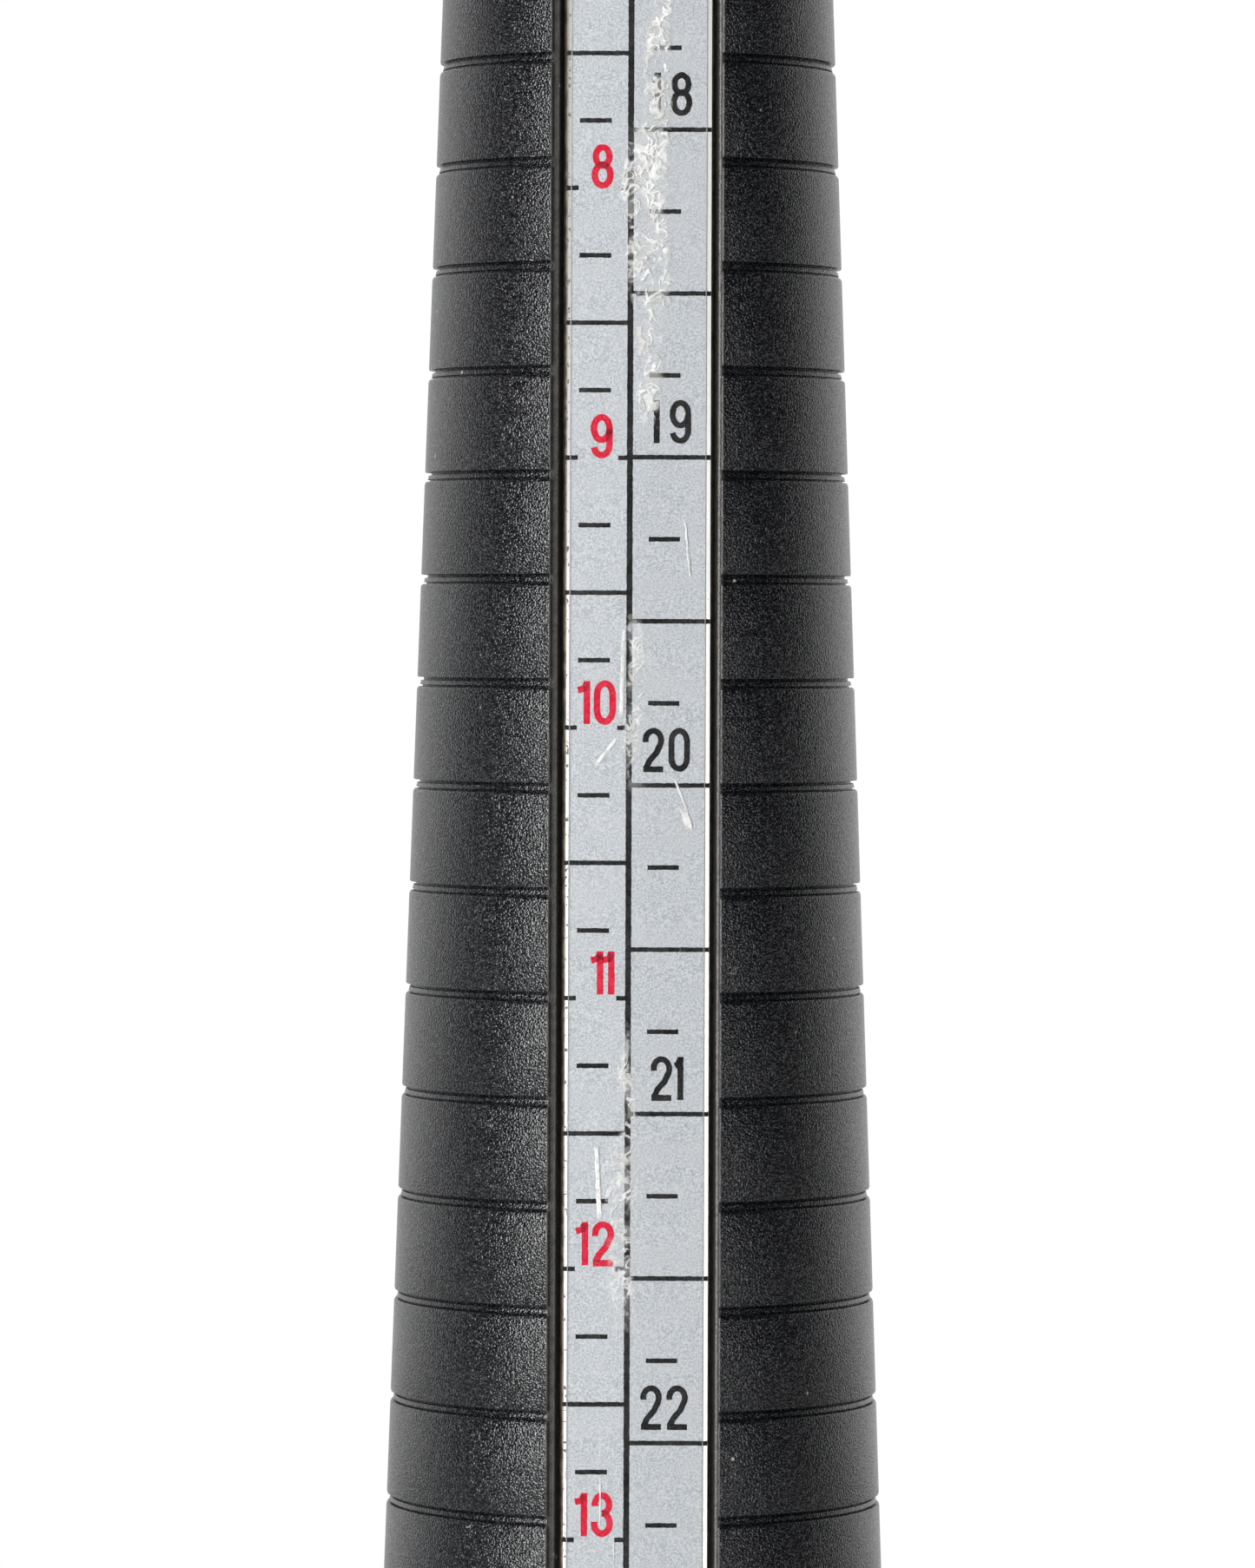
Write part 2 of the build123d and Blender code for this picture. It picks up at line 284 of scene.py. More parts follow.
def build_cone(material):
    """The hollow cone with its bands, grooves, channels and pockets."""
    rows = [cone_row(*height) for height in cone_heights()]
    first = cone_row(SHOULDER_Z, 0.0, False, False)
    last = cone_row(NOSE_Z, 0.0, False, False)
    socket_top = SHOULDER_Z + SOCKET_DEPTH
    rows += [
        inner_row(last, BORE_RADIUS_AT_NOSE, NOSE_Z),
        inner_row(first, BORE_RADIUS_AT_SOCKET, socket_top),
        inner_row(first, SOCKET_RADIUS, socket_top),
        inner_row(first, SOCKET_RADIUS, SHOULDER_Z),
    ]
    cone = new_piece("cone_body", *closed_grid(rows), material, "black_plastic", ["mandrel_cone"])
    shade_by_angle(cone, CONE_SHARP_ANGLE)
    return cone


# Tip plug, handle and end cap: turned shapes

TIP_HEAD_RADIUS = 5.6
TIP_RIM_HEIGHT = 0.8
TIP_SPIGOT_RADIUS = 2.38
GATE_RADIUS = 0.9
GATE_DEPTH = 0.18
GATE_SLOPE = 0.06
TIP_CHAMFER = 0.12
DOME_STEPS = 20
EDGE_STEPS = 8
LATHE_SEGMENTS = 144
LATHE_SHARP_ANGLE = 35


def build_lathe(name, outline, material, slot, replaces):
    """A closed turned piece from an outline of (radius, height) points."""
    piece = new_piece(name, *closed_grid(lathe_rows(outline, LATHE_SEGMENTS)), material, slot, replaces)
    shade_by_angle(piece, LATHE_SHARP_ANGLE)
    return piece


def build_tip_plug(material):
    """The domed button at the tip, with the small round mark of its moulding gate."""
    dome_height = PLUG_HIGH.z - NOSE_Z - TIP_RIM_HEIGHT
    dome_radius = (TIP_HEAD_RADIUS**2 + dome_height**2) / (2 * dome_height)
    centre = PLUG_HIGH.z - dome_radius
    dome_low = math.degrees(math.acos(TIP_HEAD_RADIUS / dome_radius))
    dome_high = math.degrees(math.acos(GATE_RADIUS / dome_radius))
    outline = [(0.0, PLUG_LOW.z), (TIP_SPIGOT_RADIUS, PLUG_LOW.z), (TIP_SPIGOT_RADIUS, NOSE_Z)]
    outline += [(TIP_HEAD_RADIUS - TIP_CHAMFER, NOSE_Z), (TIP_HEAD_RADIUS, NOSE_Z + TIP_CHAMFER)]
    outline += arc_points((0, centre), dome_radius, dome_low, dome_high, DOME_STEPS)
    gate_z = outline[-1][1] - GATE_DEPTH
    outline += [(GATE_RADIUS - GATE_SLOPE, gate_z), (0.0, gate_z)]
    return build_lathe("tip_button", outline, material, "black_plastic", ["tip_plug"])


GRIP_RADIUS = HANDLE_HIGH.x
GRIP_BELLY_Z = 40.0
GRIP_BELLY_CURVE = 509.0
NECK_Z = 84.0
NECK_STEPS = 18
COLLAR_RADIUS = 13.0
COLLAR_HEIGHT = 5.0
COLLAR_EDGE_RADIUS = 0.8
HANDLE_BORE_RADIUS = 9.0
WEB_LOW = 70.0
WEB_HIGH = SHOULDER_Z - SOCKET_DEPTH
SCREW_HOLE_RADIUS = 2.2
GRIP_GROOVE_RADIUS = 0.9
GRIP_GROOVE_OFFSET = 0.4
GRIP_GROOVE_FIRST_Z = 24.0
GRIP_GROOVE_PITCH = 6.0
GRIP_GROOVE_COUNT = 9
GRIP_GROOVE_REACH = 1.15  # half the height over which a groove and its soft edges run
GRIP_GROOVE_STEPS = 14
GRIP_GROOVE_SOFTNESS = 0.06
# Heights of the outline's points below and above the grooves
PLAIN_GRIP_LOW = range(4, 22, 2)
PLAIN_GRIP_HIGH = range(75, 84, 2)
FOOT_CHAMFER = 0.25
HANGING_HOLE_RADIUS = 2.5
HANGING_HOLE_Z = 14.0
HANGING_HOLE_SEGMENTS = 64
# Widening of the hanging hole, by the distance beyond the grip's surface
HANGING_HOLE_FLARE = ((0.0, -0.45), (0.12, -0.15), (0.9, 0.5))


def grip_radius(z):
    """Radius of the grip at height z, on one long arc."""
    return GRIP_RADIUS - GRIP_BELLY_CURVE + math.sqrt(GRIP_BELLY_CURVE**2 - (z - GRIP_BELLY_Z) ** 2)


def grip_groove_depth(dz):
    """Depth of a grip groove at a height from its middle, with soft edges."""
    inside = math.sqrt(max(GRIP_GROOVE_RADIUS**2 - dz**2, 0.0)) - GRIP_GROOVE_OFFSET
    if inside <= -GRIP_GROOVE_OFFSET:
        return 0.0
    return (inside + math.sqrt(inside**2 + GRIP_GROOVE_SOFTNESS**2)) / 2


def grip_outline():
    """Outside of the handle from its foot to the top of its collar."""
    foot = grip_radius(HANDLE_LOW.z)
    outline = [(foot - FOOT_CHAMFER, HANDLE_LOW.z), (foot, HANDLE_LOW.z + FOOT_CHAMFER)]
    outline += [(grip_radius(z), float(z)) for z in PLAIN_GRIP_LOW]
    for index in range(GRIP_GROOVE_COUNT):
        middle = GRIP_GROOVE_FIRST_Z + index * GRIP_GROOVE_PITCH
        for step in range(GRIP_GROOVE_STEPS + 1):
            dz = GRIP_GROOVE_REACH * (2 * step / GRIP_GROOVE_STEPS - 1)
            outline.append((grip_radius(middle + dz) - grip_groove_depth(dz), middle + dz))
    outline += [(grip_radius(z), float(z)) for z in PLAIN_GRIP_HIGH]
    return outline + neck_outline()


def neck_outline():
    """The waisted neck, as the arc that leaves the grip in line with it, and then the collar."""
    start = Vector((grip_radius(NECK_Z), NECK_Z))
    end = Vector((COLLAR_RADIUS, SHOULDER_Z - COLLAR_HEIGHT))
    lean = math.asin((NECK_Z - GRIP_BELLY_Z) / GRIP_BELLY_CURVE)
    normal = Vector((math.cos(lean), math.sin(lean)))
    chord = end - start
    radius = chord.length_squared / (2 * chord.dot(normal))
    centre = start + normal * radius
    first = math.atan2(start.y - centre.y, start.x - centre.x)
    last = math.atan2(end.y - centre.y, end.x - centre.x)
    sweep = (last - first) % (2 * math.pi)
    if sweep > math.pi:
        sweep -= 2 * math.pi
    arc = arc_points(centre, radius, math.degrees(first), math.degrees(first + sweep), NECK_STEPS)
    corner = (COLLAR_RADIUS - COLLAR_EDGE_RADIUS, SHOULDER_Z - COLLAR_EDGE_RADIUS)
    return arc + arc_points(corner, COLLAR_EDGE_RADIUS, 0, 90, EDGE_STEPS)


def hole_cutter():
    """A bar along X that cuts the hanging hole, flared where it leaves the grip."""
    surface = grip_radius(HANGING_HOLE_Z)
    half = [(HANGING_HOLE_RADIUS + rise, surface + beyond) for rise, beyond in HANGING_HOLE_FLARE]
    half.append((0.0, surface + HANGING_HOLE_FLARE[-1][1]))
    outline = [(r, -x) for r, x in reversed(half)] + half
    rows = lathe_rows(outline, HANGING_HOLE_SEGMENTS)
    turned = [[(x_height, y, r + HANGING_HOLE_Z) for r, y, x_height in row] for row in rows]
    return closed_grid(turned)


def build_handle(material):
    """The hollow grip moulding with its web, socket and hanging hole."""
    outline = grip_outline()
    outline += [(SOCKET_RADIUS, SHOULDER_Z), (SOCKET_RADIUS, WEB_HIGH), (SCREW_HOLE_RADIUS, WEB_HIGH)]
    outline += [(SCREW_HOLE_RADIUS, WEB_LOW), (HANDLE_BORE_RADIUS, WEB_LOW)]
    outline.append((HANDLE_BORE_RADIUS, HANDLE_LOW.z))
    piece = build_lathe("handle_grip", outline, material, "grip_plastic", ["handle"])
    cutter = new_object("hanging_hole_cutter", *hole_cutter())
    cut = piece.modifiers.new("hanging_hole", "BOOLEAN")
    cut.object = cutter
    cut.solver = "EXACT"
    depsgraph = bpy.context.evaluated_depsgraph_get()
    holed = bpy.data.meshes.new_from_object(piece.evaluated_get(depsgraph))
    piece.modifiers.clear()
    piece.data = holed
    bpy.data.objects.remove(cutter)
    shade_by_angle(piece, LATHE_SHARP_ANGLE)
    return piece


CAP_EDGE_RADIUS = 0.8
CAP_SPIGOT_RADIUS = 8.97
CAP_SPIGOT_WALL = 1.6
CAP_TOP_CHAMFER = 0.15
# Radius and height under the foot: the mark of the moulding gate, then the moulded ring
CAP_UNDERSIDE = ((0.0, 0.15), (1.0, 0.15), (1.12, 0.0), (7.9, 0.0), (8.0, 0.12), (8.4, 0.12), (8.5, 0.0))


def build_end_cap(material):
    """The flat foot that closes the handle, with a moulded ring and gate mark under it."""
    radius = CAP_HIGH.x
    top = HANDLE_LOW.z
    outline = list(CAP_UNDERSIDE)
    outline += arc_points((radius - CAP_EDGE_RADIUS, CAP_EDGE_RADIUS), CAP_EDGE_RADIUS, -90, 0, EDGE_STEPS)
    outline += [(radius, top - CAP_TOP_CHAMFER), (radius - CAP_TOP_CHAMFER, top), (CAP_SPIGOT_RADIUS, top)]
    outline += [(CAP_SPIGOT_RADIUS, CAP_HIGH.z), (CAP_SPIGOT_RADIUS - CAP_SPIGOT_WALL, CAP_HIGH.z)]
    outline += [(CAP_SPIGOT_RADIUS - CAP_SPIGOT_WALL, top), (0.0, top)]
    return build_lathe("end_cap_foot", outline, material, "grip_plastic", ["end_cap"])


# Scale strips, cover films and print. The front lies on -Y; the rear is the front turned half round.

FRONT = 1
REAR = -1
STRIP_EDGE_STEP = 0.065  # depth of the bevel's foot
STRIP_FLAT = SCALE_HALF_WIDTH - SCALE_BEVEL
STRIP_SHARP_ANGLE = 10
GLUE_WIDTH = 0.10
# Distance out from the strip's edge, and depth under its flat, of the slope of old glue
GLUE_SLOPE = ((0.02, 0.11), (GLUE_WIDTH, 0.30), (GLUE_WIDTH, SCALE_THICKNESS))
FILM_SHARP_ANGLE = 60
FILM_EDGE = 0.03
FILM_LIFT = 0.015
INK_LIFT = 0.008


def on_face(side, x, z, depth):
    """A point by the front or rear scale: x from its middle line, and depth under the film's face."""
    reach = face_distance(z) - depth
    return (side * (SCALE_MIDDLE + x), -side * reach, z)


def strip_depth(x):
    """Depth of the strip's surface under its own flat, at a distance from its middle."""
    beyond = max(abs(x) - STRIP_FLAT, 0.0)
    return beyond * STRIP_EDGE_STEP / SCALE_BEVEL


def capped_grid(rows):
    """Vertices and faces of a bar whose rows are closed rings, with both ends capped."""
    vertices, faces = closed_grid(rows)
    count = len(rows[0])
    faces = faces[:-count]
    faces.append(tuple(range(count)))
    faces.append(tuple(len(vertices) - count + k for k in range(count)))
    return vertices, faces


def build_strip(side, name, node, material):
    """A bevelled metal strip with broken edges and a slope of old glue along its sides."""
    half = [(STRIP_FLAT, 0.0), (SCALE_HALF_WIDTH, STRIP_EDGE_STEP)]
    half += [(SCALE_HALF_WIDTH + out, depth) for out, depth in GLUE_SLOPE]
    section = half + [(-x, depth) for x, depth in reversed(half)]
    ends = [(0.0, SCALE_BEVEL), (SCALE_BEVEL, 0.0)]
    heights = [(SCALE_LOW.z + rise, sunk) for rise, sunk in ends]
    heights += [(SCALE_HIGH.z - rise, sunk) for rise, sunk in reversed(ends)]
    rows = []
    for z, sunk in heights:
        depths = [FILM_THICKNESS + max(depth, sunk) for _, depth in section]
        rows.append([on_face(side, x, z, depth) for (x, _), depth in zip(section, depths)])
    strip = new_piece(name, *capped_grid(rows), material, "printed_metal", [node])
    shade_by_angle(strip, STRIP_SHARP_ANGLE)
    return strip


def build_film(side, name, node, material):
    """The clear film over the flat of a strip, with its edges pressed down."""
    bottom = FILM_THICKNESS - FILM_LIFT
    half = [(STRIP_FLAT - FILM_EDGE, 0.0), (STRIP_FLAT - FILM_EDGE / 3, FILM_EDGE / 2)]
    half += [(STRIP_FLAT, FILM_EDGE), (STRIP_FLAT, bottom)]
    section = half + [(-x, depth) for x, depth in reversed(half)]
    low, high = FILM_LOW.z, FILM_HIGH.z
    heights = [(low, FILM_EDGE), (low + FILM_EDGE, 0.0), (high - FILM_EDGE, 0.0), (high, FILM_EDGE)]
    rows = [[on_face(side, x, z, max(depth, sunk)) for x, depth in section] for z, sunk in heights]
    film = new_piece(name, *capped_grid(rows), material, "clear_film", [node])
    shade_by_angle(film, FILM_SHARP_ANGLE)
    return film


def subdivided(points, step):
    """The same line with more points, no further apart than a step."""
    line = [Vector(points[0])]
    for a, b in zip(points, points[1:]):
        a, b = Vector(a), Vector(b)
        count = max(1, math.ceil((b - a).length / step))
        line += [a.lerp(b, (k + 1) / count) for k in range(count)]
    return line


def line_normals(line, closed):
    """Unit normals to the left of a line in its own plane."""
    normals = []
    last = len(line) - 1
    for k in range(len(line)):
        before = line[k - 1] if k or closed else line[k]
        after = line[(k + 1) % len(line)] if k < last or closed else line[k]
        along = (after - before).normalized()
        normals.append(Vector((-along.y, along.x)))
    return normals


INK_STEP = 0.09
INK_RAGGED = 0.011


class Print:
    """Ink strokes of one colour on one scale, gathered into a single thin mesh."""

    def __init__(self, side, seed):
        self.side = side
        self.noise = random.Random(seed)
        self.vertices = []
        self.faces = []

    def stroke(self, points, width, closed=False):
        """A line of ink through (x, z) points on the strip, as a thin closed prism with ragged edges."""
        line = subdivided(list(points) + [points[0]] if closed else points, INK_STEP)
        if closed:
            line.pop()
        first = len(self.vertices)
        for point, normal in zip(line, line_normals(line, closed)):
            for sign in (1, -1):
                edge = point + normal * sign * (width / 2 + self.noise.uniform(-INK_RAGGED, INK_RAGGED))
                surface = FILM_THICKNESS + strip_depth(edge.x)
                self.vertices.append(on_face(self.side, edge.x, edge.y, surface - INK_LIFT))
                self.vertices.append(on_face(self.side, edge.x, edge.y, surface + INK_LIFT))
        rings = len(line)
        for k in range(rings if closed else rings - 1):
            a, b = first + 4 * k, first + 4 * ((k + 1) % rings)
            for low, high in ((0, 2), (2, 3), (3, 1), (1, 0)):
                self.faces.append((a + low, a + high, b + high, b + low))
        if not closed:
            end = first + 4 * (rings - 1)
            self.faces.append((first, first + 1, first + 3, first + 2))
            self.faces.append((end, end + 2, end + 3, end + 1))

    def piece(self, name, material):
        """The finished piece."""
        return new_piece(name, self.vertices, self.faces, material, "printed_metal")


# Places across the strip, from its middle line
TICK_WIDTH = 0.205
DIVIDER_X = -0.36
DIVIDER_WIDTH = 0.26
LINE_END = SCALE_HALF_WIDTH - 0.004
MM_DASH = (0.48, 1.86)
US_DASH = (-2.62, -1.21)
US_STUB = 2.66
DIVIDER_STUB = 0.88
BLACK_RIGHT = 2.32
BLACK_RISE = 0.62
RED_RIGHT_SINGLE = -1.15
RED_RIGHT_DOUBLE = -0.97
RED_RISE_DOUBLE = 0.16
DIVIDER_MARGIN = 0.5

# Whole sizes printed in each column, and the diameters that the two tables of ring sizes start from
FRONT_DIAMETERS = (13, 24)
FRONT_US_SIZES = (1, 15)
REAR_CIRCUMFERENCES = range(41, 77)
REAR_SIZES = range(1, 34)
FIRST_DOUBLE = 10  # the first size with two digits
US_8_DIAMETER = 18.1786
US_STEP = 0.8232
JAPANESE_1_DIAMETER = 13

# Seeds of the black and the red ink's ragged edges
FRONT_SEEDS = (11, 12)
REAR_SEEDS = (21, 22)

# Digit centrelines, in a cell DIGIT_WIDTH wide and DIGIT_HEIGHT high outside the stroke
DIGIT_HEIGHT = 1.90
DIGIT_WIDTH = 0.92
HALF = 0.345  # half the width between the centrelines of a digit's sides
TOP = DIGIT_HEIGHT - 0.11
BASE = 0.11


def bow(cx, cy, rx, ry, start, end, steps=14):
    """Points along part of an ellipse, angles in degrees from the +x direction."""
    angles = [math.radians(start + (end - start) * k / steps) for k in range(steps + 1)]
    return [(cx + rx * math.cos(a), cy + ry * math.sin(a)) for a in angles]


def digit_strokes(digit, flag_reach):
    """(centreline, closed) of each stroke of a digit, from the middle of its cell's foot."""
    upper = (0.0, TOP - 0.42)
    lower = (0.0, BASE + 0.45)
    if digit == "0":
        return [(bow(0, TOP - 0.5, HALF, 0.5, 0, 180) + bow(0, BASE + 0.5, HALF, 0.5, 180, 360), True)]
    if digit == "1":
        flag = [(-flag_reach, DIGIT_HEIGHT - 0.40), (-0.10, DIGIT_HEIGHT - 0.33)]
        flag.append((-0.02, DIGIT_HEIGHT - 0.10))
        return [([(0, 0), (0, DIGIT_HEIGHT)], False), (flag, False)]
    if digit == "2":
        neck = bow(*upper, HALF, 0.42, 192, -24)
        foot = [(-0.44, 0.09), (0.44, 0.09)]
        return [(neck + [(0.13, 0.80), (-0.17, 0.46), (-0.32, 0.14)], False), (foot, False)]
    if digit == "3":
        head = bow(0, TOP - 0.40, HALF - 0.03, 0.40, 190, -90)
        belly = bow(*lower, HALF, 0.45, 90, -190)
        return [(head, False), (belly, False)]
    if digit == "4":
        return [([(0.17, 0), (0.17, DIGIT_HEIGHT - 0.08), (-0.36, 0.56), (0.46, 0.56)], False)]
    if digit == "5":
        belly = bow(0, BASE + 0.50, HALF, 0.50, 128, -165)
        return [([(0.36, TOP), (-0.24, TOP), (-0.30, 0.95)], False), (belly, False)]
    if digit == "6":
        hook = bow(0, TOP - 0.44, HALF, 0.44, 12, 180) + [(-HALF, BASE + 0.5)]
        return [(bow(0, BASE + 0.5, HALF, 0.5, 180, 540, 28)[:-1], True), (hook, False)]
    if digit == "7":
        return [([(-0.42, TOP + 0.01), (0.37, TOP + 0.01), (0.10, 1.05), (-0.06, 0.5), (-0.10, 0)], False)]
    if digit == "8":
        head = bow(0, TOP - 0.40, HALF - 0.04, 0.40, -90, 270, 24)
        return [(head[:-1], True), (bow(0, BASE + 0.46, HALF, 0.46, 90, 450, 28)[:-1], True)]
    hook = bow(0, BASE + 0.44, HALF, 0.44, 192, 360) + [(HALF, TOP - 0.5)]
    return [(bow(0, TOP - 0.5, HALF, 0.5, 0, 360, 28)[:-1], True), (hook, False)]


def print_number(ink, number, right, foot, style):
    """A number with its right edge and its foot at the given places on the strip."""
    width, gap, one_inset, flag_reach = style
    place = right
    for digit in reversed(str(number)):
        middle = place - (one_inset if digit == "1" else DIGIT_WIDTH / 2)
        for line, closed in digit_strokes(digit, flag_reach):
            ink.stroke([(middle + x, foot + y) for x, y in line], width, closed)
        place = middle - (width / 2 + 0.02 if digit == "1" else DIGIT_WIDTH / 2) - gap


# Stroke width, gap, the distance of a 1's stem from the cell's edge, and the reach of its flag
BLACK_STYLE = (0.265, 0.225, 0.36, 0.24)
RED_STYLE = (0.29, 0.20, 0.13, 0.40)


def mark_z(diameter):
    """Height of a mark on the scales."""
    return gauge_z(diameter) + SCALE_SHIFT


def us_diameter(size):
    """Inner diameter of a US ring size."""
    return US_8_DIAMETER + US_STEP * (size - 8)


def japanese_diameter(size):
    """Inner diameter of a Japanese ring size, three of them to the millimetre."""
    return JAPANESE_1_DIAMETER + (size - 1) / 3


def divided(a, b):
    """A level line that bends where it leaves the strip's flat."""
    bends = [x for x in (-STRIP_FLAT, STRIP_FLAT) if min(a, b) < x < max(a, b)]
    return sorted([a, b] + bends)


def level_line(ink, a, b, z):
    """A level tick from a to b."""
    ink.stroke([(x, z) for x in divided(a, b)], TICK_WIDTH)


def print_right_column(ink, first, last):
    """Inner diameter: a full line at each half millimetre, a dash between and a number at each whole one."""
    for quarter in range(4 * first, 4 * last + 1):
        z = mark_z(quarter / 4)
        if quarter % 2:
            level_line(ink, *MM_DASH, z)
        else:
            level_line(ink, DIVIDER_X, LINE_END, z)
        if quarter % 4 == 0:
            print_number(ink, quarter // 4, BLACK_RIGHT, z + BLACK_RISE, BLACK_STYLE)


def print_left_size(black, red, size, z):
    """A whole size in the left column, between its two stubs of line."""
    double = size >= FIRST_DOUBLE
    right = RED_RIGHT_DOUBLE if double else RED_RIGHT_SINGLE
    level_line(black, -LINE_END, -US_STUB, z)
    level_line(black, -DIVIDER_STUB, DIVIDER_X, z)
    print_number(red, size, right, z + RED_RISE_DOUBLE * double, RED_STYLE)


def print_left_column(black, red, first, last):
    """US sizes: stubs beside each number, a full line at each half size and a dash between."""
    for quarter in range(4 * first, 4 * last + 1):
        z = mark_z(us_diameter(quarter / 4))
        if quarter % 4 == 0:
            print_left_size(black, red, quarter // 4, z)
        elif quarter % 2:
            level_line(black, *US_DASH, z)
        else:
            level_line(black, -LINE_END, DIVIDER_X, z)


def print_divider(black):
    """The line between the two columns, along the whole strip."""
    ends = (SCALE_LOW.z + DIVIDER_MARGIN, SCALE_HIGH.z - DIVIDER_MARGIN)
    black.stroke([(DIVIDER_X, z) for z in ends], DIVIDER_WIDTH)


def build_front_print(black_ink, red_ink):
    """Inner diameter in millimetres on the right, US sizes on the left."""
    black, red = (Print(FRONT, seed) for seed in FRONT_SEEDS)
    print_divider(black)
    print_right_column(black, *FRONT_DIAMETERS)
    print_left_column(black, red, *FRONT_US_SIZES)
    return [black.piece("front_black_print", black_ink), red.piece("front_red_print", red_ink)]


def build_rear_print(black_ink, red_ink):
    """Inner circumference in millimetres on the right, the Japanese sizes on the left."""
    black, red = (Print(REAR, seed) for seed in REAR_SEEDS)
    print_divider(black)
    for size in REAR_CIRCUMFERENCES:
        z = mark_z(size / math.pi)
        level_line(black, DIVIDER_X, LINE_END, z)
        print_number(black, size, BLACK_RIGHT, z + BLACK_RISE, BLACK_STYLE)
        level_line(black, *MM_DASH, mark_z((size - 0.5) / math.pi))
    for size in REAR_SIZES:
        print_left_size(black, red, size, mark_z(japanese_diameter(size)))
        level_line(black, *US_DASH, mark_z(japanese_diameter(size + 0.5)))
    return [black.piece("rear_black_print", black_ink), red.piece("rear_red_print", red_ink)]


# Materials. Every pattern is placed by object coordinates, in metres.


def srgb(red, green, blue):
    """A screen colour of 0 to 255 as linear light, with full alpha."""
    levels = [c / 255 for c in (red, green, blue)]
    linear = [c / 12.92 if c <= 0.04045 else ((c + 0.055) / 1.055) ** 2.4 for c in levels]
    return (*linear, 1.0)


class Nodes:
    """A node tree under construction."""

    def __init__(self, tree):
        self.tree = tree
        tree.nodes.clear()

    def add(self, kind, inputs=None, **settings):
        """A node with its settings, and each input either linked or set."""
        node = self.tree.nodes.new(kind)
        for key, value in settings.items():
            setattr(node, key, value)
        self.feed(node, inputs or {})
        return node

    def feed(self, node, inputs):
        """Links or sets a node's inputs."""
        for key, value in inputs.items():
            if isinstance(value, bpy.types.NodeSocket):
                self.tree.links.new(value, node.inputs[key])
            else:
                node.inputs[key].default_value = value

    def calc(self, operation, a, b=0.0, c=0.0):
        """The result of an operation on one, two or three numbers."""
        return self.add("ShaderNodeMath", {0: a, 1: b, 2: c}, operation=operation).outputs[0]

    def times(self, a, b):
        """The product of two numbers."""
        return self.calc("MULTIPLY", a, b)

    def plus(self, a, b):
        """The sum of two numbers."""
        return self.calc("ADD", a, b)

    def minus(self, a, b):
        """The difference of two numbers."""
        return self.calc("SUBTRACT", a, b)

    def larger(self, a, b):
        """The larger of two numbers."""
        return self.calc("MAXIMUM", a, b)

    def remap(self, value, low, high, to_low=0.0, to_high=1.0, smooth=True):
        """A value carried from one range to another and held inside it."""
        kind = "SMOOTHSTEP" if smooth else "LINEAR"
        inputs = {"Value": value, "From Min": low, "From Max": high, "To Min": to_low, "To Max": to_high}
        return self.add("ShaderNodeMapRange", inputs, interpolation_type=kind).outputs["Result"]


class Surface(Nodes):
    """A material under construction: each method adds a node and returns its output."""

    def __init__(self, name):
        self.material = bpy.data.materials.new(name)
        self.material.use_nodes = True
        super().__init__(self.material.node_tree)
        self.shader = self.add("ShaderNodeBsdfPrincipled")
        self.add("ShaderNodeOutputMaterial", {"Surface": self.shader.outputs[0]})
        self.place = self.add("ShaderNodeTexCoord").outputs["Object"]
        self.x, self.y, self.z = self.add("ShaderNodeSeparateXYZ", {0: self.place}).outputs
        # Distance towards +X from the middle line of the front or the rear strip
        self.across = self.calc("MULTIPLY_ADD", self.calc("SIGN", self.y), SCALE_MIDDLE * MM, self.x)

    def noise(self, scale, detail=2.0, roughness=0.5, distortion=0.0, place=None):
        """Cloudy noise from 0 to 1, with its scale in cells per metre."""
        inputs = {"Vector": place or self.place, "Scale": scale, "Detail": detail}
        inputs.update({"Roughness": roughness, "Distortion": distortion})
        return self.add("ShaderNodeTexNoise", inputs).outputs["Fac"]

    def cells(self, scale):
        """A Voronoi node with its scale in cells per metre."""
        return self.add("ShaderNodeTexVoronoi", {"Vector": self.place, "Scale": scale})

    def blend(self, amount, a, b):
        """One colour fading to another."""
        node = self.add("ShaderNodeMix", data_type="RGBA")
        self.feed(node, {0: amount, 6: a, 7: b})
        return node.outputs[2]

    def stretched(self, x, y, z):
        """The object coordinates with each axis scaled."""
        return self.add("ShaderNodeMapping", {"Vector": self.place, "Scale": (x, y, z)}).outputs[0]

    def bump(self, height, distance):
        """The normal of a relief, with the height of its full step in metres."""
        return self.add("ShaderNodeBump", {"Height": height, "Distance": distance}).outputs[0]

    def near(self, value, middle, reach, softness):
        """1 where a value is within reach of the middle, falling to 0 over the softness."""
        distance = self.calc("ABSOLUTE", self.minus(value, middle))
        return self.remap(distance, reach, reach + softness, 1.0, 0.0)

    def set(self, **inputs):
        """Sets or links the shader's inputs, with underscores for spaces."""
        self.feed(self.shader, {key.replace("_", " "): value for key, value in inputs.items()})


# Depths under the bands between which a groove's floor gives way to its slots
SLOT_DEPTHS = (0.17, 0.20)
BAND_SIDE = 2.5  # all within this distance of the plane between front and rear counts as bands


